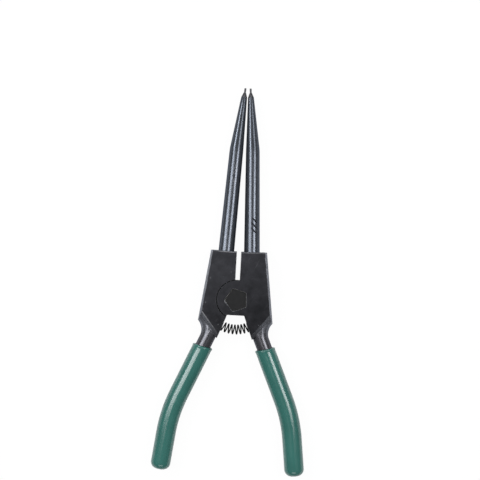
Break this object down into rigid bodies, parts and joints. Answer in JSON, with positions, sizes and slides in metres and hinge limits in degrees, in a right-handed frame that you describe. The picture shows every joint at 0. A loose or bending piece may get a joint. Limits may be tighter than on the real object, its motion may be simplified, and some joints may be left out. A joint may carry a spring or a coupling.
{
  "type": "circlip pliers",
  "caption": "Long-nose external circlip pliers with lapped halves on a flush five-sided pivot bolt, slim round noses with pin tips, a coil return spring and dipped grips.",
  "frame": {"origin": "where the pivot axis meets the back face, which the pliers lie on", "axes": "+Y along the pliers to the tips, +Z along the pivot axis to the bolt head's face, +X to the right half as seen from the front"},
  "size_m": [0.0994, 0.2503, 0.0135],
  "materials": {
    "black_steel": "satin black oxide",
    "nose_steel": "polished black oxide",
    "pivot_steel": "satin black oxide",
    "spring_steel": "blackened spring wire",
    "green_grip": "glossy dipped vinyl"
  },
  "bodies": {
    "left_half": {"left_body": "black_steel", "left_nose": "nose_steel", "left_tip_insert": "nose_steel", "left_grip": "green_grip", "return_spring": "spring_steel"},
    "right_half": {"right_body": "black_steel", "right_nose": "nose_steel", "right_tip_insert": "nose_steel", "right_grip": "green_grip", "pivot_bolt": "pivot_steel", "pivot_nut": "pivot_steel"}
  },
  "joints": [
    {"name": "squeeze", "type": "hinge", "parent": "left_half", "child": "right_half", "pos_m": [0, 0, 0], "axis": [0, 0, -1], "range_deg": [0, 24], "stiffness_Nm_per_rad": 2, "springref_deg": -6.3, "deforming": ["return_spring"]}
  ]
}
